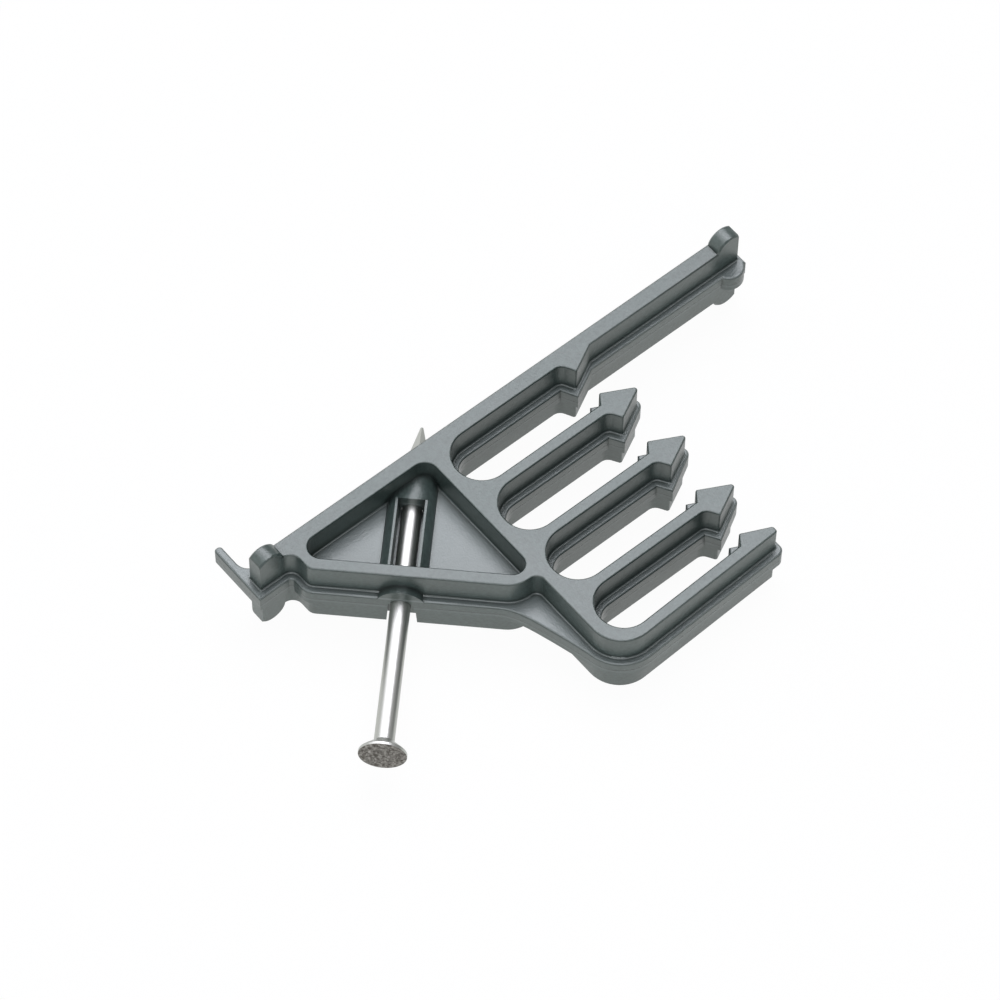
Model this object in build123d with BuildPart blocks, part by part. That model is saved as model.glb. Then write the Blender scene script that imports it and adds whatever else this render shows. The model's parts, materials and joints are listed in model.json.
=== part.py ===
"""Cable stacker: a moulded comb that is nailed to the side of a stud, with its nail held in it.

The frame: X runs along the stud, Y points into the stud and Z is up off the comb's flat side. The
origin is on the face that lies against the stud, at mid length and mid height.
"""

import os
from math import copysign, cos, radians, sin, sqrt, tan

from build123d import *

# All sizes are millimetres. In the plan, x runs from the hook end and y from the stud face.

# Plate and ribs
length = 88.9
web_thickness = 3.2
rib_height = 12.4
ledge = 1.1
end_ledge = 0.7
rim_bevel = 0.25
web_bevel = 0.3
foot_bevel = 0.25

# Base beam, its catch, its end nib and the round tabs at both ends
base_wall = 2.45
catch_foot = 54.8
catch_rise = 2.3
nib_radius = 2.35
tab_radius = 2.4
tab_sink = 0.45
hook_tab_setback = 1.8
end_tab_setback = 1.55
end_corner_round = 1.2

# Hook over the stud's edge
hook_wall = 1.2
hook_reach = 5.8
hook_root_round = 2.15
hook_tip_round = 0.5

# Comb
spine_left = 30.6
spine_wall = 2.1
slot_width = 8.6
last_slot_width = 8.25
slot_count = 4
arm_wall = 1.75
last_arm_lean = 2.15
slot_flat = 0.1
comb_corner_round = 5.2

# Heads of the arms
neck_end = 54.9
barb_run = 1.2
near_barb = 2.5
far_barb = 2.85
head_length = 6.35
tip_shift = 0.25
tip_blunt = 0.7
ramp_angle = 27.7
ramp_ledge = 0.75
barb_round = 0.35
tip_round = 0.45
web_tip_round = 1.15
throat_round = 1.5

# Triangle that carries the nail
brace_wall = 1.9
brace_rise = 0.5
brace_start = 6.7
brace_end = 27.7
brace_start_round = 1.5
brace_end_round = 4.6
brace_foot_round = 1.7
brace_spine_round = 1.3
pocket_foot_round = 1.9
pocket_spine_round = 2.0
pocket_end_round = 1.7
swell_start = 26.6
swell_lean = 12.8
swell_middle = (27.4, 32.4)

# Nail
nail_exit = 31.9
nail_angle = 45
nail_length = 50.8
nail_diameter = 2.87
nail_head_diameter = 6.75
nail_head_rim = 0.55
nail_head_flare = 1.65
nail_head_round = 0.2
nail_point = 7.0
nail_point_flat = 0.3
nail_protrusion = 5.25
nail_clearance = 0.05

# Boss round the nail, its window and the collar that the head stops at
boss_radius = 3.8
boss_height = 3.07
collar_radius = 3.5
window_length = 12.6
saddle_half_width = 1.75
saddle_overlap = 0.3
window_half_width = 1.95
way_half_width = 2.35
window_seal = 0.3
exit_room = 1.0

rib_top = rib_height / 2
web_top = web_thickness / 2
lap = 1.0
past = 3.0
arm_pitch = slot_width + arm_wall
base_face = ledge + base_wall
spine_right = spine_left + spine_wall
rib_end = length - end_ledge
tip_reach = neck_end + head_length
last_slot_floor = base_face + (slot_count - 1) * arm_pitch
lean = tan(radians(last_arm_lean))
brace_slope = 1 / tan(radians(nail_angle))
plan = Plane(origin=(-length / 2, 0, 0), x_dir=(1, 0, 0), z_dir=(0, 0, -1))


def last_arm_inner(x):
    """Inner edge of the leaning last arm at x."""
    return last_slot_floor + last_slot_width - (x - spine_right) * lean


def last_arm_outer(x):
    """Outer edge of the leaning last arm at x."""
    return last_arm_inner(x) + arm_wall / cos(radians(last_arm_lean))


def brace_edge(x, inset=0.0):
    """Outer edge of the brace, square to the nail, at x, or a line inset from it."""
    return x * brace_slope + brace_rise - inset * sqrt(1 + brace_slope**2)


def brace_edge_x(y, inset=0.0):
    """Where that line reaches the height y."""
    return (y - brace_rise + inset * sqrt(1 + brace_slope**2)) / brace_slope


def corner(sketch, x, y):
    """The sketch's corner that is nearest to a point."""
    return sketch.vertices().sort_by_distance((x, y, 0))[0]


def barb(foot, rise, trim=0.0):
    """Corner of a barb whose steep face starts at its foot; the trim shortens that face."""
    face = Vector(barb_run, rise)
    tip = Vector(*foot) + face * (1 - trim / face.length)
    return tip.X, tip.Y


def arm_low(arm):
    """Edge of a straight arm that faces the stud; arm 1 is the first after the base beam."""
    return base_face + arm * arm_pitch - arm_wall


def arm_head(arm, trim=0.0, shift=tip_shift):
    """Corners of a straight arm's arrow head: near barb, tip and far barb."""
    low = arm_low(arm)
    middle = low + arm_wall / 2
    near = barb((neck_end, low), arm_wall / 2 - near_barb, trim)
    far = barb((neck_end, low + arm_wall), far_barb - arm_wall / 2, trim)
    return near, (tip_reach - trim / sin(radians(ramp_angle)), middle + shift), far


def last_head(trim=0.0):
    """Corners of the last arm's half head: its one barb and its blunt end."""
    blunt_x = tip_reach - tip_blunt - trim
    blunt_y = last_arm_inner(blunt_x) + tip_blunt + trim / 2
    near = barb((neck_end, last_arm_inner(neck_end)), arm_wall / 2 - near_barb, trim)
    return near, (blunt_x, blunt_y), (blunt_x, last_arm_outer(blunt_x))


def base_catch(trim=0.0):
    """Corners of the catch on the base beam: its barb and the end of its ramp."""
    peak = barb((catch_foot, base_face), catch_rise, trim)
    return peak, (peak[0] + (peak[1] - base_face) / tan(radians(ramp_angle)), base_face)


def outline(trim=0.0, shift=tip_shift):
    """Outline of the ribs with the triangle filled, and the ramps of the heads drawn in by the trim."""
    with BuildSketch() as ribs_filled:
        Polygon(
            (spine_left, ledge),
            (neck_end, ledge),
            (neck_end, last_arm_outer(neck_end)),
            (spine_left, last_arm_outer(spine_left)),
            align=None,
        )
        fillet(corner(ribs_filled, spine_left, last_arm_outer(spine_left)), comb_corner_round)
        for slot in range(slot_count - 1):
            with BuildSketch(mode=Mode.SUBTRACT) as slot_gap:
                with Locations((spine_right, base_face + slot * arm_pitch)):
                    Rectangle(neck_end + past - spine_right, slot_width, align=Align.MIN)
                fillet(slot_gap.vertices().group_by(Axis.X)[0], (slot_width - slot_flat) / 2)
        with BuildSketch(mode=Mode.SUBTRACT) as last_gap:
            Polygon(
                (spine_right, last_slot_floor),
                (neck_end + past, last_slot_floor),
                (neck_end + past, last_arm_inner(neck_end + past)),
                (spine_right, last_arm_inner(spine_right)),
                align=None,
            )
            fillet(last_gap.vertices().group_by(Axis.X)[0], last_slot_width / 2 - slot_flat)
        with Locations((ledge, ledge)):
            Rectangle(rib_end - ledge, base_wall, align=Align.MIN)
        peak, ramp_foot = base_catch(trim)
        catch = ((catch_foot, ledge), (catch_foot, base_face), peak, ramp_foot, (ramp_foot[0], ledge))
        Polygon(*catch, align=None)
        for arm in range(1, slot_count):
            low = arm_low(arm)
            neck = ((neck_end - lap, low), (neck_end, low))
            neck_back = ((neck_end, low + arm_wall), (neck_end - lap, low + arm_wall))
            Polygon(*neck, *arm_head(arm, trim, shift), *neck_back, align=None)
        Polygon(
            (neck_end - lap, last_arm_inner(neck_end - lap)),
            (neck_end, last_arm_inner(neck_end)),
            *last_head(trim),
            (neck_end - lap, last_arm_outer(neck_end - lap)),
            align=None,
        )
        with BuildSketch() as brace:
            Polygon(
                (brace_start, ledge),
                (brace_start, brace_edge(brace_start)),
                (brace_edge_x(brace_end), brace_end),
                (spine_left + lap, brace_end),
                (spine_left + lap, ledge),
                align=None,
            )
            fillet(corner(brace, brace_start, brace_edge(brace_start)), brace_start_round)
            fillet(corner(brace, brace_edge_x(brace_end), brace_end), brace_end_round)
        fillet(corner(ribs_filled, brace_start, base_face), brace_foot_round)
        fillet(corner(ribs_filled, spine_left, brace_end), brace_spine_round)
    return ribs_filled.sketch


# The ribs in plan, with the triangle's pocket open and the corners of the heads rounded
pocket_foot = brace_edge_x(base_face, brace_wall)
pocket_end = brace_edge(spine_left, brace_wall)
with BuildSketch() as rib_plan:
    add(outline())
    for arm in range(1, slot_count):
        near, tip, far = arm_head(arm)
        fillet(corner(rib_plan, *near), barb_round)
        fillet(corner(rib_plan, *far), barb_round)
        fillet(corner(rib_plan, *tip), tip_round)
        fillet(corner(rib_plan, neck_end, arm_low(arm) + arm_wall), throat_round)
    near, *blunt = last_head()
    for point in blunt:
        fillet(corner(rib_plan, *point), tip_round)
    fillet(corner(rib_plan, *near), barb_round)
    fillet(corner(rib_plan, *base_catch()[0]), barb_round)
    fillet(corner(rib_plan, catch_foot, base_face), throat_round)
    with BuildSketch(mode=Mode.SUBTRACT) as pocket:
        Polygon((pocket_foot, base_face), (spine_left, base_face), (spine_left, pocket_end), align=None)
        fillet(corner(pocket, pocket_foot, base_face), pocket_foot_round)
        fillet(corner(pocket, spine_left, base_face), pocket_spine_round)
        fillet(corner(pocket, spine_left, pocket_end), pocket_end_round)

# The web in plan: a ledge round the ribs, the hook, the end nib and the swell beside the spine
ledge_tip = ledge / sin(radians(ramp_angle))
with BuildSketch() as web_plan:
    offset(outline(ledge - ramp_ledge, 0), amount=ledge, kind=Kind.INTERSECTION, mode=Mode.ADD)
    for arm in range(1, slot_count):
        tip_x, tip_y = arm_head(arm, ledge - ramp_ledge, 0)[1]
        fillet(corner(web_plan, tip_x + ledge_tip, tip_y), web_tip_round)
    end_x, end_y = last_head(ledge - ramp_ledge)[2]
    fillet(corner(web_plan, end_x + ledge, end_y + ledge), web_tip_round)
    end_x, end_y = last_head(ledge - ramp_ledge)[1]
    fillet(corner(web_plan, end_x + ledge, end_y - ledge / 2), web_tip_round)
    with Locations((length - nib_radius, base_face)):
        Circle(nib_radius)
    corner_ring = comb_corner_round + ledge
    corner_y = last_arm_outer(spine_left) - comb_corner_round / tan(radians(90 - last_arm_lean) / 2)
    swell_end = (
        spine_left + comb_corner_round - corner_ring * cos(radians(swell_lean)),
        corner_y + corner_ring * sin(radians(swell_lean)),
    )
    swell_line = (sin(radians(swell_lean)), cos(radians(swell_lean)))
    brace_x = brace_edge_x(swell_start, -ledge)
    with BuildLine():
        Spline((brace_x, swell_start), swell_middle, swell_end, tangents=((1, brace_slope), swell_line))
        Polyline(
            swell_end,
            (spine_right, swell_end[1]),
            (spine_right, swell_start),
            (brace_x, swell_start),
        )
    make_face()
    with Locations((0, -hook_reach)):
        Rectangle(hook_wall, hook_reach + ledge, align=Align.MIN)
    fillet(corner(web_plan, hook_wall, 0), hook_root_round)
    for x in (0, hook_wall):
        fillet(corner(web_plan, x, -hook_reach), hook_tip_round)
    with Locations((length, -ledge)):
        Rectangle(length, length, align=Align.MIN, mode=Mode.SUBTRACT)
    fillet(corner(web_plan, length, 0), end_corner_round)

# The nail's lines: its axis crosses the stud face at the exit point and runs square to the brace
exit_point = plan.from_local_coords(Vector(nail_exit, 0, 0))
along = Vector(cos(radians(nail_angle)), sin(radians(nail_angle)), 0)
nail_side = Plane(origin=exit_point, x_dir=along, z_dir=(0, 0, 1))
brace_outer = nail_exit * cos(radians(nail_angle)) + brace_rise * sin(radians(nail_angle))
brace_inner = brace_outer - brace_wall
window_end = brace_inner - window_length
exit_half_width = saddle_half_width / sin(radians(nail_angle))


def across_nail(station):
    """A plane square to the nail, facing its point, at a distance back from the stud face."""
    return Plane(origin=exit_point - along * station, x_dir=(0, 0, 1), z_dir=along)


def saddle(height, half_width):
    """Flared opening from just past the nail's axis up to a height, or down to one below it."""
    foot = copysign(saddle_overlap, -height)
    return (
        (foot, -saddle_half_width),
        (foot, saddle_half_width),
        (height, half_width),
        (height, -half_width),
    )


# Boss round the nail on both sides of the web, flat on top and cut to the pocket
with BuildPart() as boss:
    with BuildSketch(across_nail(brace_outer)):
        Circle(boss_radius)
        Rectangle(2 * boss_height, 2 * boss_radius, mode=Mode.INTERSECT)
    extrude(amount=brace_outer)
    with BuildSketch(plan):
        Polygon(
            (brace_edge_x(base_face - lap, brace_wall / 2), base_face - lap),
            (spine_left + lap, base_face - lap),
            (spine_left + lap, brace_edge(spine_left + lap, brace_wall / 2)),
            align=None,
        )
    extrude(amount=rib_top, both=True, mode=Mode.INTERSECT)

with BuildPart() as plate:
    with BuildSketch(plan):
        add(web_plan.sketch)
    extrude(amount=web_top, both=True)
    plate_levels = plate.edges().group_by(Axis.Z)
    chamfer(plate_levels[0] + plate_levels[-1], web_bevel)

with BuildPart() as ribs:
    with BuildSketch(plan):
        add(rib_plan.sketch)
    extrude(amount=rib_top, both=True)
    rib_levels = ribs.edges().group_by(Axis.Z)
    chamfer(rib_levels[0] + rib_levels[-1], rim_bevel)

# Round tabs that stand up from both ends of the base beam, above and below
beam_front = Plane(origin=plan.from_local_coords(Vector(0, ledge, 0)), x_dir=(1, 0, 0), z_dir=(0, -1, 0))
with BuildPart() as tabs:
    with BuildSketch(beam_front):
        for x in (ledge + hook_tab_setback, rib_end - end_tab_setback):
            for z in (tab_sink - rib_top, rib_top - tab_sink):
                with Locations((x, z)):
                    Circle(tab_radius)
    extrude(amount=base_wall)
    with BuildSketch(plan):
        with Locations((ledge, ledge)):
            Rectangle(rib_end - ledge, base_wall, align=Align.MIN)
    extrude(amount=rib_height, both=True, mode=Mode.INTERSECT)
    chamfer(tabs.edges().filter_by(GeomType.CIRCLE), rim_bevel)

with BuildPart() as stacker_body:
    add(plate.part)
    add(ribs.part)
    for level in (-web_top, web_top):
        rim = plate.edges().filter_by_position(Axis.Z, level, level)
        feet = stacker_body.edges().filter_by_position(Axis.Z, level, level)
        inner = [edge for edge in feet if min(edge.distance_to(line) for line in rim) > foot_bevel]
        chamfer(inner, foot_bevel)
    add(boss.part)
    add(tabs.part)
    # Collar over the nail, out to the edge of the ledge
    with BuildSketch(across_nail(brace_outer + ledge)):
        Circle(collar_radius)
        Rectangle(collar_radius, 2 * collar_radius, align=(Align.MIN, Align.CENTER), mode=Mode.INTERSECT)
    extrude(amount=ledge + brace_wall / 2)
    # Bore along the whole nail
    with BuildSketch(across_nail(brace_outer + past)):
        Circle(nail_diameter / 2 + nail_clearance)
    extrude(amount=brace_outer + 2 * past, mode=Mode.SUBTRACT)
    # Window over the nail
    with BuildSketch(across_nail(brace_inner)):
        Polygon(*saddle(boss_radius, window_half_width), align=None)
    extrude(amount=window_length, mode=Mode.SUBTRACT)
    # Ways in from below, through the brace and from the closed end out to the stud face
    brace_run = past + brace_wall - window_seal
    closed_start = window_end - window_seal
    for start, run in ((brace_outer + past, brace_run), (closed_start, closed_start + past)):
        with BuildSketch(across_nail(start)):
            Polygon(*saddle(-rib_top - past, way_half_width), align=None)
        extrude(amount=run, mode=Mode.SUBTRACT)
    # Notch in the web where the nail comes out at the stud face
    with BuildSketch(plan):
        Polygon(
            (nail_exit - ledge * brace_slope - exit_half_width, ledge),
            (nail_exit - ledge * brace_slope + exit_half_width + exit_room, ledge),
            (nail_exit + past * brace_slope + exit_half_width + exit_room, -past),
            (nail_exit + past * brace_slope - exit_half_width, -past),
            align=None,
        )
    extrude(amount=web_top, both=True, mode=Mode.SUBTRACT)

# Nail with a flat head on a flare and a four-sided point
with BuildPart() as captive_nail:
    head_station = nail_length - nail_protrusion
    with BuildSketch(nail_side) as nail_half:
        with BuildLine():
            Polyline(
                (nail_protrusion, 0),
                (nail_protrusion, nail_diameter / 2),
                (-head_station, nail_diameter / 2),
                (-head_station - nail_head_flare, nail_head_diameter / 2),
                (-head_station - nail_head_flare - nail_head_rim, nail_head_diameter / 2),
                (-head_station - nail_head_flare - nail_head_rim, 0),
                close=True,
            )
        make_face()
        rim_corners = nail_half.vertices().group_by(Axis.Y)[-1]
        fillet(rim_corners, nail_head_round)
    revolve(axis=Axis(exit_point, along))
    with BuildPart(mode=Mode.INTERSECT) as point_cut:
        with BuildSketch(across_nail(nail_point - nail_protrusion)):
            Rectangle(nail_diameter, nail_diameter, rotation=nail_angle)
        with BuildSketch(across_nail(-nail_protrusion)):
            Rectangle(nail_point_flat, nail_point_flat, rotation=nail_angle)
        loft()
        with BuildSketch(across_nail(nail_point - nail_protrusion)):
            Circle(nail_head_diameter)
        extrude(amount=-nail_length)

stacker_body.part.label = "stacker_body"
captive_nail.part.label = "captive_nail"
os.makedirs("parts", exist_ok=True)
export_step(stacker_body.part, "parts/stacker_body.step")
export_step(captive_nail.part, "parts/captive_nail.step")
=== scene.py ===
"""Looks of a cable stacker, a moulded comb that carries its own nail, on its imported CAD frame.

All lengths are metres. The frame is the CAD's: X runs along the stud, Y points into it and Z is up.
"""

import json
import math

import bmesh
import bpy
from mathutils import Matrix, Vector

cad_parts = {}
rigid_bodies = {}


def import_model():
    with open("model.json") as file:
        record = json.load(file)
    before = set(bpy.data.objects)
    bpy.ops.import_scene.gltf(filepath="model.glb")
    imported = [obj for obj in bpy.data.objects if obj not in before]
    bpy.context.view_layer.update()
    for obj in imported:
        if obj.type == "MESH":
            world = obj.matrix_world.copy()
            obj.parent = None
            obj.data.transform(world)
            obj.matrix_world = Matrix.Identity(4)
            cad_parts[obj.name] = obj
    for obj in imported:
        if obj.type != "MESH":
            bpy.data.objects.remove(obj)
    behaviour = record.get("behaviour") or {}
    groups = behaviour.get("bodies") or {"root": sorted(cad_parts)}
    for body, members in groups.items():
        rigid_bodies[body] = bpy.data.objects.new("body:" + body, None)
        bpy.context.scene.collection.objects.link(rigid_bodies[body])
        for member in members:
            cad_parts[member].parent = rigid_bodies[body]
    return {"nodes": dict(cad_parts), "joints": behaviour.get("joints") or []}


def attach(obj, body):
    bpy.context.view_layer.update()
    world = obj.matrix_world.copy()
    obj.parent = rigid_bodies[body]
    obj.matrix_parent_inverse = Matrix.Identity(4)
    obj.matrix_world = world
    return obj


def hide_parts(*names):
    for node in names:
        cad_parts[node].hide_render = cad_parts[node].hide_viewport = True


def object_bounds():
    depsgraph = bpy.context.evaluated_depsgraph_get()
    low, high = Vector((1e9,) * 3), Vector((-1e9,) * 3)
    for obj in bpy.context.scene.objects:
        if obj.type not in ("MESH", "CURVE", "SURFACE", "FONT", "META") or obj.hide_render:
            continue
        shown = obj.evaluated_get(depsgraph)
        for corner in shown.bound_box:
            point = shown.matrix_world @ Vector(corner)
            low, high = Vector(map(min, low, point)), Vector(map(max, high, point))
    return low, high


bl_info = {
    "name": "Cable stacker",
    "version": (1, 0, 0),
    "blender": (4, 5, 0),
    "location": "View3D > Sidebar > Stacker",
    "description": "Finishes a moulded cable stacker and its captive nail on their CAD frame",
    "category": "Object",
}

for leftover in list(bpy.data.objects):
    bpy.data.objects.remove(leftover)
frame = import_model()
cad_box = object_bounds()

MM = 0.001
NAIL_AXIS = Vector(frame["joints"][0]["axis"]).normalized()
ACROSS_NAIL = Vector((-NAIL_AXIS.y, NAIL_AXIS.x, 0))

# Two points are one, and a point lies at a level, within these
MERGE = 0.001 * MM
TOUCH = 0.01 * MM
# Upward part of the direction of a level face, and of a bevel of about 45 degrees
LEVEL = 0.99
BEVEL_SLOPE = (0.69, 0.72)
# A bevel takes the directions of broad faces that turn less than this from it
BEVEL_REACH = math.radians(60)

# Share of a check's foot that its flat top keeps, least and most of its rise, and the seed of the lot
CHECK_TOP = 0.45
CHECK_RISES = (0.7, 1.15)
CHECK_SEED = 5

WHITE = (1, 1, 1, 1)
FLOOR_HALF_SIDE = 3.0
LAMP_TARGET = Vector((0, -0.02, 0))
# Azimuth from +Y towards +X and elevation of each lamp, in degrees
LAMPS = {"back": (55, 65), "front": (225, 48), "top": (0, 90), "far": (350, 50), "left": (280, 25)}


def head_face():
    """Centre and radius of the nail's struck face, read from the CAD node."""
    points = [v.co for v in frame["nodes"]["captive_nail"].data.vertices]
    station = min(point.dot(NAIL_AXIS) for point in points)
    rim = [point for point in points if point.dot(NAIL_AXIS) < station + TOUCH]
    across = [point.dot(ACROSS_NAIL) for point in rim]
    level = [point.z for point in rim]
    centre = (
        NAIL_AXIS * station
        + ACROSS_NAIL * (min(across) + max(across)) / 2
        + Vector((0, 0, (min(level) + max(level)) / 2))
    )
    return centre, (max(across) - min(across)) / 2


class Signal:
    """A socket that takes part in sums as a number does."""

    def __init__(self, finish, socket):
        self.finish = finish
        self.socket = socket

    def _maths(self, operation, first, second):
        return self.finish.add("ShaderNodeMath", {"operation": operation}, {0: first, 1: second})

    def __add__(self, other):
        return self._maths("ADD", self, other)

    def __radd__(self, other):
        return self._maths("ADD", other, self)

    def __sub__(self, other):
        return self._maths("SUBTRACT", self, other)

    def __rsub__(self, other):
        return self._maths("SUBTRACT", other, self)

    def __mul__(self, other):
        return self._maths("MULTIPLY", self, other)

    def __rmul__(self, other):
        return self._maths("MULTIPLY", other, self)

    def __lt__(self, other):
        return self._maths("LESS_THAN", self, other)


class Finish:
    """The nodes of a material or a world, and the method that adds any node to them."""

    def __init__(self, owner):
        owner.use_nodes = True
        self.owner = owner
        self.nodes = owner.node_tree.nodes
        self.links = owner.node_tree.links

    def add(self, kind, settings=None, values=None, output=0):
        """A new node with its settings, then its socket values or links, as the signal it gives."""
        node = self.nodes.new(kind)
        for name, value in (settings or {}).items():
            setattr(node, name, value)
        for key, value in (values or {}).items():
            self.feed(node.inputs[key], value)
        return Signal(self, node.outputs[output])

    def feed(self, socket, value):
        """Sets a socket to a value, or links a signal to it."""
        if isinstance(value, Signal):
            self.links.new(value.socket, socket)
        else:
            socket.default_value = value

    def dress(self, values, node="Principled BSDF"):
        """Feeds the sockets of the main shader, or of another node, by name."""
        for key, value in values.items():
            self.feed(self.nodes[node].inputs[key], value)

    def place(self):
        """The point on the piece, in its own coordinates."""
        return self.add("ShaderNodeTexCoord", output="Object")

    def noise(self, place, size, detail=2.0, stretch=(1, 1, 1), turn=(0, 0, 0)):
        """Noise with features of about one size, stretched along turned axes, from 0 to 1."""
        turned = self.add(
            "ShaderNodeMapping", {"vector_type": "TEXTURE"}, {"Vector": place, "Rotation": turn}
        )
        scaled = self.add(
            "ShaderNodeVectorMath", {"operation": "MULTIPLY"},
            {0: turned, 1: tuple(1 / (size * part) for part in stretch)},
        )
        return self.add("ShaderNodeTexNoise", None, {"Vector": scaled, "Scale": 1.0, "Detail": detail})

    def nearness(self, value, centre, reach):
        """1 where a value is at a centre, falling to 0 at a reach from it."""
        gap = self.add("ShaderNodeMath", {"operation": "ABSOLUTE"}, {0: value - centre})
        return self.add(
            "ShaderNodeMapRange", {"interpolation_type": "SMOOTHSTEP"},
            {"Value": gap, "From Min": reach / 2, "From Max": reach, "To Min": 1.0, "To Max": 0.0},
        )

    def blend(self, factor, first, second):
        """A mix of two colours."""
        return self.add(
            "ShaderNodeMix", {"data_type": "RGBA", "clamp_factor": True},
            {0: factor, 6: first, 7: second}, output=2,
        )


class PlasticSettings(bpy.types.PropertyGroup):
    """Sizes and colours of the moulded plastic."""

    colour: bpy.props.FloatVectorProperty(
        name="Colour", description="Colour of the plastic", subtype="COLOR", min=0, max=1,
        default=(0.026, 0.040, 0.036),
    )
    pale: bpy.props.FloatVectorProperty(
        name="Pale colour", description="Colour of the paler flow marks", subtype="COLOR", min=0, max=1,
        default=(0.060, 0.088, 0.080),
    )
    # Painted light: a paler colour laid on the web's broad face and its top bevel, where light falls on
    # them.
    painted_shelf_light: bpy.props.FloatVectorProperty(
        name="Shelf colour", description="Colour of the web's broad face",
        subtype="COLOR", min=0, max=1, default=(0.12, 0.147, 0.14),
    )
    # Painted shade deep in the corners; the same dark colour also draws the parting line.
    corner_shade_and_parting: bpy.props.FloatVectorProperty(
        name="Groove colour", description="Colour deep in the corners", subtype="COLOR", min=0, max=1,
        default=(0.014, 0.022, 0.020),
    )
    roughness: bpy.props.FloatProperty(
        name="Roughness", description="Mean roughness of the satin skin", min=0, max=1,
        subtype="FACTOR", default=0.33,
    )
    cloud: bpy.props.FloatProperty(
        name="Cloud", description="Size of the cloudy patches in the gloss", min=0, unit="LENGTH",
        default=9 * MM,
    )
    contrast: bpy.props.FloatProperty(
        name="Contrast", description="How strongly the flow marks stand out", min=0, default=2.0,
    )
    shine: bpy.props.FloatProperty(
        name="Shine", description="Specular level of the plastic", min=0, max=1, subtype="FACTOR",
        default=1.0,
    )
    shine_tint: bpy.props.FloatVectorProperty(
        name="Shine tint", description="Tint of the plastic's gloss", subtype="COLOR", min=0, max=1,
        default=(0.93, 1.0, 0.95),
    )
    grain: bpy.props.FloatProperty(
        name="Grain", description="Size of the mould's fine grain", min=0, unit="LENGTH",
        default=0.30 * MM,
    )
    grain_depth: bpy.props.FloatProperty(
        name="Grain depth", description="Height of the fine grain", min=0, unit="LENGTH",
        default=0.03 * MM,
    )
    # Reach and strength of the painted shade in the corners.
    corner_shade_reach: bpy.props.FloatProperty(
        name="Corner reach", description="How far the dark tone reaches out of a corner", min=0,
        unit="LENGTH", default=0.85 * MM,
    )
    corner_shade_strength: bpy.props.FloatProperty(
        name="Corner strength", description="How fast a corner takes the groove colour", min=0,
        default=2.6,
    )
    web_top: bpy.props.FloatProperty(
        name="Web top", description="Height of the web's broad face", min=0, unit="LENGTH",
        default=1.6 * MM,
    )
    # Reach of the painted light on the web's broad face.
    painted_shelf_light_reach: bpy.props.FloatProperty(
        name="Shelf reach", description="How far the shelf colour goes above and below the web's face",
        min=0, unit="LENGTH", default=0.30 * MM,
    )
    # Painted light: a paler band along the web's side face, just below the parting line.
    painted_band_height: bpy.props.FloatProperty(
        name="Seam height", description="Height of the paler band beside the parting line",
        unit="LENGTH", default=-0.35 * MM,
    )
    painted_band_reach: bpy.props.FloatProperty(
        name="Seam reach", description="How far the paler band goes from its middle", min=0,
        unit="LENGTH", default=0.32 * MM,
    )
    painted_band_share: bpy.props.FloatProperty(
        name="Seam share", description="Share of the shelf colour in the paler band", min=0, max=1,
        subtype="FACTOR", default=0.35,
    )
    parting: bpy.props.FloatProperty(
        name="Parting line", description="Width of the line where the mould's halves met", min=0,
        unit="LENGTH", default=0.16 * MM,
    )
    parting_depth: bpy.props.FloatProperty(
        name="Parting depth", description="Depth of the parting line, in heights of the grain", min=0,
        default=4.0,
    )
    boss_height: bpy.props.FloatProperty(
        name="Boss height", description="Height of the boss round the nail", min=0, unit="LENGTH",
        default=3.07 * MM,
    )
    lip: bpy.props.FloatProperty(
        name="Window half width", description="Half the width between the lips of the boss's window",
        min=0, unit="LENGTH", default=1.915 * MM,
    )
    boss_radius: bpy.props.FloatProperty(
        name="Boss radius", description="Radius that the boss's top is lit with", min=0, unit="LENGTH",
        default=3.8 * MM,
    )
    crease: bpy.props.FloatProperty(
        name="Crease", description="Edges that turn more than this stay sharp", subtype="ANGLE",
        default=math.radians(35),
    )


class SteelSettings(bpy.types.PropertyGroup):
    """Sizes and colours of the nail."""

    colour: bpy.props.FloatVectorProperty(
        name="Colour", description="Colour of the bright steel", subtype="COLOR", min=0, max=1,
        default=(0.49, 0.505, 0.475),
    )
    roughness: bpy.props.FloatProperty(
        name="Roughness", description="Mean roughness of the drawn shank", min=0, max=1,
        subtype="FACTOR", default=0.38,
    )
    scale_colour: bpy.props.FloatVectorProperty(
        name="Scale colour", description="Colour of the brown scale on the struck face", subtype="COLOR",
        min=0, max=1, default=(0.100, 0.094, 0.082),
    )
    worn_colour: bpy.props.FloatVectorProperty(
        name="Worn colour", description="Colour where the scale has worn off the struck face",
        subtype="COLOR", min=0, max=1, default=(0.34, 0.33, 0.305),
    )
    scale_roughness: bpy.props.FloatProperty(
        name="Scale roughness", description="Roughness of the struck face", min=0, max=1,
        subtype="FACTOR", default=0.5,
    )
    scale_patch: bpy.props.FloatProperty(
        name="Scale patch", description="Size of the patches of scale", min=0, unit="LENGTH",
        default=0.45 * MM,
    )
    scale_reach: bpy.props.FloatProperty(
        name="Scale reach", description="How far the scale goes from the struck face", min=0,
        unit="LENGTH", default=0.12 * MM,
    )
    relief: bpy.props.FloatProperty(
        name="Relief", description="Height that the bump's levels stand for", min=0, unit="LENGTH",
        default=0.02 * MM,
    )
    draw_line: bpy.props.FloatProperty(
        name="Draw line", description="Width of the lines that drawing left on the shank", min=0,
        unit="LENGTH", default=0.12 * MM,
    )


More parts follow.
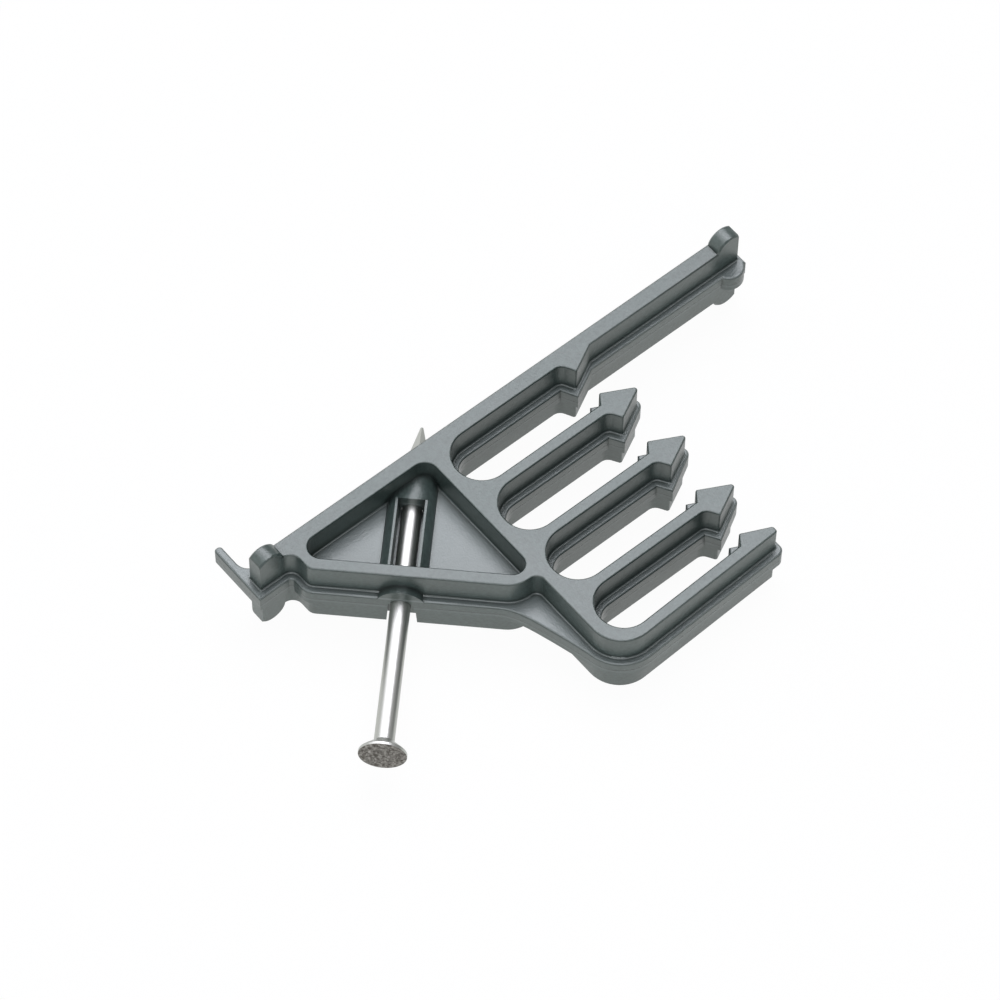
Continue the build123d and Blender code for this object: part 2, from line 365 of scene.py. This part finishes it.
class CheckSettings(bpy.types.PropertyGroup):
    pitch: bpy.props.FloatProperty(
        name="Pitch", description="Distance from one check to the next", min=0, unit="LENGTH",
        default=0.85 * MM,
    )
    width: bpy.props.FloatProperty(
        name="Width", description="Width of a check at its foot", min=0, unit="LENGTH",
        default=0.66 * MM,
    )
    rise: bpy.props.FloatProperty(
        name="Rise", description="Height of a check", min=0, unit="LENGTH", default=0.14 * MM,
    )
    margin: bpy.props.FloatProperty(
        name="Margin", description="Plain rim round the checks", min=0, unit="LENGTH",
        default=0.30 * MM,
    )


class StageSettings(bpy.types.PropertyGroup):
    """Camera, lamps and floor."""

    camera_place: bpy.props.FloatVectorProperty(
        name="Camera place", description="Where the camera stands", subtype="TRANSLATION",
        unit="LENGTH", default=(-0.243969, -0.290703, 0.592757),
    )
    camera_azimuth: bpy.props.FloatProperty(
        name="Camera azimuth", description="Heading of the view from +Y towards +X", subtype="ANGLE",
        default=math.radians(40.3081),
    )
    camera_elevation: bpy.props.FloatProperty(
        name="Camera elevation", description="Angle of the view below the horizon", subtype="ANGLE",
        default=math.radians(58.3851),
    )
    camera_roll: bpy.props.FloatProperty(
        name="Camera roll", description="Turn of the camera about its view", subtype="ANGLE",
        default=math.radians(0.7778),
    )
    lens: bpy.props.FloatProperty(
        name="Lens", description="Focal length in millimetres on a 36 mm sensor", default=179.0730,
    )
    back: bpy.props.FloatProperty(
        name="Back lamp", description="Power of the lamp across from the camera, in watts", min=0,
        default=3.7,
    )
    front: bpy.props.FloatProperty(
        name="Front lamp", description="Power of the lamp on the camera's side, in watts", min=0,
        default=2.5,
    )
    top: bpy.props.FloatProperty(
        name="Top lamp", description="Power of the lamp straight above, in watts", min=0, default=0.9,
    )
    far: bpy.props.FloatProperty(
        name="Far lamp", description="Power of the lamp past the stud side, in watts", min=0,
        default=1.8,
    )
    left: bpy.props.FloatProperty(
        name="Left lamp", description="Power of the lamp past the hook, in watts", min=0, default=0.25,
    )
    lamp_size: bpy.props.FloatProperty(
        name="Lamp size", description="Side of each square lamp", min=0, unit="LENGTH", default=0.55,
    )
    lamp_distance: bpy.props.FloatProperty(
        name="Lamp distance", description="Distance from the part to each lamp", min=0, unit="LENGTH",
        default=0.8,
    )
    floor_colour: bpy.props.FloatVectorProperty(
        name="Floor colour", description="Colour of the floor where the lamps light it",
        subtype="COLOR", min=0, max=1, default=(0.85, 0.88, 0.86),
    )
    lamp_colour: bpy.props.FloatVectorProperty(
        name="Lamp colour", description="Colour of the lamps", subtype="COLOR", min=0, max=1,
        default=(0.94, 0.90, 1.0),
    )
    surround: bpy.props.FloatProperty(
        name="Surround", description="Strength of the even light from all round", min=0, default=0.15,
    )
    gloss_floor: bpy.props.FloatProperty(
        name="Floor in gloss", description="Share of the floor's plain white that gloss sees", min=0,
        max=1, subtype="FACTOR", default=1.0,
    )
    gloss_surround: bpy.props.FloatProperty(
        name="Surround in gloss", description="Share of the white surround that gloss sees on the left",
        min=0, max=1, subtype="FACTOR", default=0.9,
    )
    gloss_right: bpy.props.FloatProperty(
        name="Right in gloss", description="Share of the white surround that gloss sees on the right",
        min=0, max=1, subtype="FACTOR", default=0.35,
    )
    gloss_heading: bpy.props.FloatProperty(
        name="Gloss heading", description="Heading of the surround's left side, from +Y towards +X",
        subtype="ANGLE", default=math.radians(300),
    )
    gloss_edges: bpy.props.FloatVectorProperty(
        name="Gloss edges", description="Where the surround turns from its right level to its left one",
        size=2, min=-1, max=1, default=(-0.3, 0.7),
    )
    floor_glow: bpy.props.FloatProperty(
        name="Floor glow", description="Share of plain white in the floor that the camera sees",
        min=0, max=1, subtype="FACTOR", default=0.96,
    )


def settings_of(group):
    """One group of the values that the panel shows."""
    return getattr(bpy.context.scene.stacker, group)


def plastic():
    """Dark satin plastic: fine mould grain, cloudy gloss, faint paler flow marks and a dark parting
    line, with painted light on the web and painted shade in the corners.
    """
    sizes = settings_of("plastic")
    finish = Finish(bpy.data.materials.new("moulded_plastic_satin"))
    place = finish.place()
    grain = finish.noise(place, sizes.grain, detail=3.0)
    cloud = finish.noise(place, sizes.cloud, detail=2.0)
    speck = finish.noise(place, sizes.grain * 2, detail=1.0)
    tone = (cloud * 0.4 + speck * 0.6 - 0.5) * sizes.contrast + 0.5
    height = finish.add("ShaderNodeSeparateXYZ", None, {0: place}, output="Z")
    # Painted light on the web's broad face and its top bevel.
    painted_shelf_light = finish.nearness(height, sizes.web_top, sizes.painted_shelf_light_reach)
    # Painted light band along the web's side face, in the same painted light colour as the web's broad
    # face.
    painted_band = finish.nearness(height, sizes.painted_band_height, sizes.painted_band_reach)
    line = finish.nearness(height, 0.0, sizes.parting / 2)
    # Painted shade: corners take the dark colour by their ambient occlusion.
    clear = finish.add(
        "ShaderNodeAmbientOcclusion", {"samples": 8, "only_local": True},
        {"Distance": sizes.corner_shade_reach}, output="AO",
    )
    deep = (1 - clear) * sizes.corner_shade_strength
    skin = finish.blend(tone, (*sizes.colour, 1), (*sizes.pale, 1))
    skin = finish.blend(painted_shelf_light, skin, (*sizes.painted_shelf_light, 1))
    skin = finish.blend(painted_band * sizes.painted_band_share, skin, (*sizes.painted_shelf_light, 1))
    skin = finish.blend(line, skin, (*sizes.corner_shade_and_parting, 1))
    bump = finish.add(
        "ShaderNodeBump", None,
        {"Strength": 1.0, "Distance": sizes.grain_depth, "Height": grain - line * sizes.parting_depth},
        output="Normal",
    )
    finish.dress({
        "Base Color": finish.blend(deep, skin, (*sizes.corner_shade_and_parting, 1)),
        "Roughness": cloud * 0.14 + grain * 0.10 + (sizes.roughness - 0.12),
        "Specular IOR Level": sizes.shine,
        "Specular Tint": (*sizes.shine_tint, 1),
        "Normal": bump,
    })
    return finish.owner


def steel():
    """Bright drawn steel: fine lines along the shank, and brown scale on the struck face."""
    sizes = settings_of("steel")
    finish = Finish(bpy.data.materials.new("nail_steel_bright"))
    place = finish.place()
    turn = (0, 0, math.atan2(NAIL_AXIS.y, NAIL_AXIS.x))
    lines = finish.noise(place, sizes.draw_line, detail=3.0, stretch=(60, 1, 1), turn=turn)
    patches = finish.noise(place, sizes.scale_patch, detail=4.0)
    bare = finish.add(
        "ShaderNodeMapRange", None, {"Value": patches, "From Min": 0.38, "From Max": 0.68}
    )
    centre, _ = head_face()
    along = finish.add(
        "ShaderNodeVectorMath", {"operation": "DOT_PRODUCT"}, {0: place, 1: tuple(NAIL_AXIS)}, output=1
    )
    struck = along < centre.dot(NAIL_AXIS) + sizes.scale_reach
    face = finish.blend(bare, (*sizes.scale_colour, 1), (*sizes.worn_colour, 1))
    bump = finish.add(
        "ShaderNodeBump", None,
        {"Strength": 1.0, "Distance": sizes.relief, "Height": lines * 0.25 + struck * patches * 4.0},
        output="Normal",
    )
    dull = struck * (sizes.scale_roughness - sizes.roughness)
    finish.dress({
        "Base Color": finish.blend(struck, (*sizes.colour, 1), face),
        "Metallic": 1.0,
        "Roughness": lines * 0.10 + (sizes.roughness - 0.05) + dull,
        "Normal": bump,
    })
    return finish.owner


def window_end(points):
    """How far along the nail the window in the boss reaches."""
    sizes = settings_of("plastic")
    centre, _ = head_face()
    return max(
        point.co.dot(NAIL_AXIS) for point in points
        if abs(point.co.z - sizes.boss_height) < TOUCH
        and abs(abs((point.co - centre).dot(ACROSS_NAIL)) - sizes.lip) < 2 * TOUCH
    )


def on_boss_top(normal, middle):
    """Whether a face with this direction and middle is part of the boss's cut top."""
    return normal.z > LEVEL and abs(middle.z - settings_of("plastic").boss_height) < TOUCH


def round_bevels(mesh):
    """Lights the flat bevels as rounds: each corner takes the direction of the broad faces there.

    The boss's cut top is lit as the round that it was cut from, past the window.
    """
    sizes = settings_of("plastic")
    centre, _ = head_face()
    past_window = window_end(mesh.vertices)
    bevels = {
        face.index for face in mesh.polygons
        if BEVEL_SLOPE[0] < abs(face.normal.z) < BEVEL_SLOPE[1]
    }
    broad = [[] for _ in mesh.vertices]
    for face in mesh.polygons:
        if face.index not in bevels:
            for point in face.vertices:
                broad[point].append(face)
    normals = [Vector() for _ in mesh.loops]
    for face in mesh.polygons:
        reach = BEVEL_REACH if face.index in bevels else sizes.crease
        crown = on_boss_top(face.normal, face.center) and face.center.dot(NAIL_AXIS) > past_window
        for corner, point in zip(face.loop_indices, face.vertices):
            near = [other for other in broad[point] if face.normal.angle(other.normal) < reach]
            total = sum((other.normal * other.area for other in near), Vector())
            normals[corner] = total.normalized() if total.length else face.normal
            if crown:
                side = (mesh.vertices[point].co - centre).dot(ACROSS_NAIL) / sizes.boss_radius
                side = max(-1, min(1, side))
                normals[corner] = ACROSS_NAIL * side + Vector((0, 0, math.sqrt(1 - side * side)))
    mesh.normals_split_custom_set(normals)


def merged_comb(name):
    """The comb's shape as a new object, with its points merged and its bevels lit as rounds."""
    node = frame["nodes"]["stacker_body"].data
    shape = bmesh.new()
    shape.from_mesh(node)
    bmesh.ops.remove_doubles(shape, verts=shape.verts, dist=MERGE)
    mesh = bpy.data.meshes.new(name)
    top = [face for face in shape.faces if on_boss_top(face.normal, face.calc_center_median())]
    edges = {edge for face in top for edge in face.edges}
    points = {point for face in top for point in face.verts}
    bmesh.ops.bisect_plane(
        shape, geom=[*top, *edges, *points], dist=MERGE,
        plane_co=NAIL_AXIS * window_end(node.vertices), plane_no=NAIL_AXIS,
    )
    bmesh.ops.triangulate(shape, faces=[face for face in shape.faces if len(face.verts) > 3])
    shape.to_mesh(mesh)
    shape.free()
    if "custom_normal" in mesh.attributes:
        mesh.attributes.remove(mesh.attributes["custom_normal"])
    mesh.materials.clear()
    mesh.shade_smooth()
    round_bevels(mesh)
    piece = bpy.data.objects.new(name, mesh)
    bpy.context.scene.collection.objects.link(piece)
    return piece


class STACKER_OT_moulding(bpy.types.Operator):
    """Makes the moulded comb from its CAD node, with soft bevels and a satin skin"""

    bl_idname = "stacker.moulding"
    bl_label = "Moulding"

    def execute(self, context):
        piece = merged_comb("comb_moulding")
        piece.data.materials.append(plastic())
        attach(piece, "comb")
        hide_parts("stacker_body")
        return {"FINISHED"}


class STACKER_OT_nail(bpy.types.Operator):
    """Gives the nail its bright steel, with brown scale on the struck face"""

    bl_idname = "stacker.nail"
    bl_label = "Nail"

    def execute(self, context):
        nail = frame["nodes"]["captive_nail"]
        nail.data.materials[0] = steel()
        return {"FINISHED"}


def check_tree(material):
    """Nodes that set a grid of low pyramids on a round face, each with its own height."""
    tree = bpy.data.node_groups.new("Stamped checks", "GeometryNodeTree")
    tree.is_modifier = True
    tree.interface.new_socket("Geometry", in_out="OUTPUT", socket_type="NodeSocketGeometry")
    for name in ("Pitch", "Width", "Rise", "Radius"):
        tree.interface.new_socket(name, in_out="INPUT", socket_type="NodeSocketFloat")
    tree.interface.new_socket("Count", in_out="INPUT", socket_type="NodeSocketInt")

    def add(kind, settings=None, values=None):
        node = tree.nodes.new(kind)
        for name, value in (settings or {}).items():
            setattr(node, name, value)
        for key, value in (values or {}).items():
            if isinstance(value, bpy.types.NodeSocket):
                tree.links.new(value, node.inputs[key])
            else:
                node.inputs[key].default_value = value
        return node

    def maths(operation, first, second):
        return add("ShaderNodeMath", {"operation": operation}, {0: first, 1: second}).outputs[0]

    sizes = add("NodeGroupInput").outputs
    side = maths("MULTIPLY", sizes["Pitch"], maths("SUBTRACT", sizes["Count"], 1))
    grid = add("GeometryNodeMeshGrid", None, {
        "Size X": side, "Size Y": side, "Vertices X": sizes["Count"], "Vertices Y": sizes["Count"],
    })
    place = add("GeometryNodeInputPosition").outputs[0]
    out = add("ShaderNodeVectorMath", {"operation": "LENGTH"}, {0: place}).outputs["Value"]
    beyond = add("FunctionNodeCompare", {"operation": "GREATER_THAN"}, {0: out, 1: sizes["Radius"]})
    kept = add("GeometryNodeDeleteGeometry", None, {
        "Geometry": grid.outputs["Mesh"], "Selection": beyond.outputs[0],
    })
    foot = maths("MULTIPLY", sizes["Width"], math.sqrt(0.5))
    pyramid = add("GeometryNodeMeshCone", None, {
        "Vertices": 4, "Radius Top": maths("MULTIPLY", foot, CHECK_TOP), "Radius Bottom": foot,
        "Depth": sizes["Rise"],
    })
    least, most = CHECK_RISES
    lot = add(
        "FunctionNodeRandomValue", {"data_type": "FLOAT"}, {2: least, 3: most, "Seed": CHECK_SEED}
    )
    height = add("ShaderNodeCombineXYZ", None, {"X": 1.0, "Y": 1.0, "Z": lot.outputs[1]})
    spread = add("GeometryNodeInstanceOnPoints", None, {
        "Points": kept.outputs[0], "Instance": pyramid.outputs["Mesh"],
        "Rotation": (0, 0, math.radians(45)), "Scale": height.outputs[0],
    })
    real = add("GeometryNodeRealizeInstances", None, {"Geometry": spread.outputs[0]})
    painted = add("GeometryNodeSetMaterial", None, {"Geometry": real.outputs[0], "Material": material})
    add("NodeGroupOutput", None, {"Geometry": painted.outputs[0]})
    return tree


class STACKER_OT_head_checks(bpy.types.Operator):
    """Stamps the checks in the nail's struck face"""

    bl_idname = "stacker.head_checks"
    bl_label = "Head checks"

    def execute(self, context):
        sizes = settings_of("checks")
        centre, radius = head_face()
        material = frame["nodes"]["captive_nail"].data.materials[0]
        maker = bpy.data.objects.new("check_maker", bpy.data.meshes.new("check_maker"))
        context.scene.collection.objects.link(maker)
        stamp = maker.modifiers.new("Checks", "NODES")
        stamp.node_group = check_tree(material)
        values = {
            "Pitch": sizes.pitch, "Width": sizes.width, "Rise": sizes.rise,
            "Radius": radius - sizes.margin,
            "Count": 2 * round(radius / sizes.pitch) + 1,
        }
        for item in stamp.node_group.interface.items_tree:
            if item.in_out == "INPUT":
                stamp[item.identifier] = values[item.name]
        depsgraph = context.evaluated_depsgraph_get()
        mesh = bpy.data.meshes.new_from_object(maker.evaluated_get(depsgraph))
        bpy.data.objects.remove(maker)
        facing = (-NAIL_AXIS).to_track_quat("Z", "Y").to_matrix().to_4x4()
        mesh.transform(Matrix.Translation(centre) @ facing)
        mesh.name = "head_checks"
        piece = bpy.data.objects.new("head_checks", mesh)
        context.scene.collection.objects.link(piece)
        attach(piece, "nail")
        return {"FINISHED"}


def add_lamp(name, power):
    """A soft square lamp that faces the part from its own place."""
    sizes = settings_of("stage")
    data = bpy.data.lights.new(name + "_lamp", "AREA")
    data.size = sizes.lamp_size
    data.color = sizes.lamp_colour
    data.energy = power
    source = bpy.data.objects.new(name + "_lamp", data)
    azimuth, elevation = (math.radians(angle) for angle in LAMPS[name])
    out = math.cos(elevation)
    heading = Vector((math.sin(azimuth) * out, math.cos(azimuth) * out, math.sin(elevation)))
    source.location = LAMP_TARGET + heading * sizes.lamp_distance
    source.rotation_euler = heading.to_track_quat("Z", "Y").to_euler()
    bpy.context.scene.collection.objects.link(source)


def seen(finish, gloss=1.0):
    """1 for rays from the camera or through glass, a share for gloss, 0 for light between surfaces."""
    outputs = finish.add("ShaderNodeLightPath").socket.node.outputs
    camera, glossy, through = (
        Signal(finish, outputs[name])
        for name in ("Is Camera Ray", "Is Glossy Ray", "Is Transmission Ray")
    )
    return finish.add(
        "ShaderNodeMath", {"operation": "MINIMUM"}, {0: camera + glossy * gloss + through, 1: 1.0}
    )


def floor_finish(sizes):
    """White floor that looks plain white, and keeps a faint shadow."""
    finish = Finish(bpy.data.materials.new("floor_white"))
    finish.nodes.remove(finish.nodes["Principled BSDF"])
    shaded = finish.add("ShaderNodeBsdfDiffuse", None, {"Color": (*sizes.floor_colour, 1)})
    plain = finish.add("ShaderNodeEmission", None, {"Color": WHITE, "Strength": 1.0})
    share = seen(finish, sizes.gloss_floor) * sizes.floor_glow
    mixed = finish.add("ShaderNodeMixShader", None, {0: share, 1: shaded, 2: plain})
    finish.dress({"Surface": mixed}, "Material Output")
    return finish.owner


class STACKER_OT_stage(bpy.types.Operator):
    """Sets the camera, the lamps, the white surround and the floor that the part rests on"""

    bl_idname = "stacker.stage"
    bl_label = "Stage"

    def execute(self, context):
        sizes = settings_of("stage")
        scene = context.scene
        scene.view_settings.view_transform = "Standard"
        self.add_camera(scene, sizes)
        self.add_floor(scene, sizes)
        self.add_surround(scene, sizes)
        for name in LAMPS:
            add_lamp(name, getattr(sizes, name))
        return {"FINISHED"}

    @staticmethod
    def add_camera(scene, sizes):
        """The camera, turned as the photograph's was."""
        data = bpy.data.cameras.new("camera")
        data.lens = sizes.lens
        data.sensor_width = 36
        data.clip_start = 0.01
        camera = bpy.data.objects.new("camera", data)
        turn = (
            Matrix.Rotation(-sizes.camera_azimuth, 4, "Z")
            @ Matrix.Rotation(math.pi / 2 - sizes.camera_elevation, 4, "X")
            @ Matrix.Rotation(sizes.camera_roll, 4, "Z")
        )
        camera.matrix_world = Matrix.Translation(sizes.camera_place) @ turn
        scene.collection.objects.link(camera)
        scene.camera = camera

    @staticmethod
    def add_floor(scene, sizes):
        """A wide floor that the lower tabs and the half of the comb away from the stud rest on."""
        body = [v.co for v in frame["nodes"]["stacker_body"].data.vertices]
        lowest = min(body, key=lambda point: (round(point.z, 6), point.y))
        outer = [point for point in body if point.y < cad_box[0].y / 2]
        tilt = -min(math.atan2(point.z - lowest.z, lowest.y - point.y) for point in outer)
        mesh = bpy.data.meshes.new("floor")
        shape = bmesh.new()
        bmesh.ops.create_grid(shape, x_segments=1, y_segments=1, size=FLOOR_HALF_SIDE)
        shape.to_mesh(mesh)
        shape.free()
        floor = bpy.data.objects.new("floor", mesh)
        floor.matrix_world = Matrix.Translation(lowest) @ Matrix.Rotation(tilt, 4, "X")
        mesh.materials.append(floor_finish(sizes))
        scene.collection.objects.link(floor)

    @staticmethod
    def add_surround(scene, sizes):
        """White to the camera, less white to gloss, and an even light for the rest."""
        finish = Finish(bpy.data.worlds.new("surround"))
        direction = finish.add("ShaderNodeTexCoord", output="Generated")
        left = (math.sin(sizes.gloss_heading), math.cos(sizes.gloss_heading), 0)
        side = finish.add(
            "ShaderNodeVectorMath", {"operation": "DOT_PRODUCT"}, {0: direction, 1: left}, output=1
        )
        right_edge, left_edge = sizes.gloss_edges
        share = finish.add("ShaderNodeMapRange", {"interpolation_type": "SMOOTHSTEP"}, {
            "Value": side, "From Min": right_edge, "From Max": left_edge,
            "To Min": sizes.gloss_right, "To Max": sizes.gloss_surround,
        })
        level = seen(finish, share) * (1 - sizes.surround) + sizes.surround
        finish.dress({"Color": WHITE, "Strength": level}, "Background")
        scene.world = finish.owner


class STACKER_PT_panel(bpy.types.Panel):
    """Lists the steps that finish the stacker, and their sizes"""

    bl_label = "Cable stacker"
    bl_space_type = "VIEW_3D"
    bl_region_type = "UI"
    bl_category = "Stacker"

    def draw(self, context):
        for group in ("plastic", "steel", "checks", "stage"):
            values = getattr(context.scene.stacker, group)
            box = self.layout.box()
            for name in values.__annotations__:
                box.prop(values, name)
        for step in STEPS:
            self.layout.operator(step.bl_idname)


class StackerSettings(bpy.types.PropertyGroup):
    """All the stacker's settings."""

    plastic: bpy.props.PointerProperty(type=PlasticSettings)
    steel: bpy.props.PointerProperty(type=SteelSettings)
    checks: bpy.props.PointerProperty(type=CheckSettings)
    stage: bpy.props.PointerProperty(type=StageSettings)


STEPS = (STACKER_OT_moulding, STACKER_OT_nail, STACKER_OT_head_checks, STACKER_OT_stage)
GROUPS = (PlasticSettings, SteelSettings, CheckSettings, StageSettings, StackerSettings)


def register():
    for kind in (*GROUPS, *STEPS, STACKER_PT_panel):
        bpy.utils.register_class(kind)
    bpy.types.Scene.stacker = bpy.props.PointerProperty(type=StackerSettings)


def unregister():
    del bpy.types.Scene.stacker
    for kind in reversed((*GROUPS, *STEPS, STACKER_PT_panel)):
        bpy.utils.unregister_class(kind)


def main():
    """Runs every step in order."""
    register()
    bpy.ops.stacker.moulding()
    bpy.ops.stacker.nail()
    bpy.ops.stacker.head_checks()
    bpy.ops.stacker.stage()


if __name__ == "__main__":
    main()
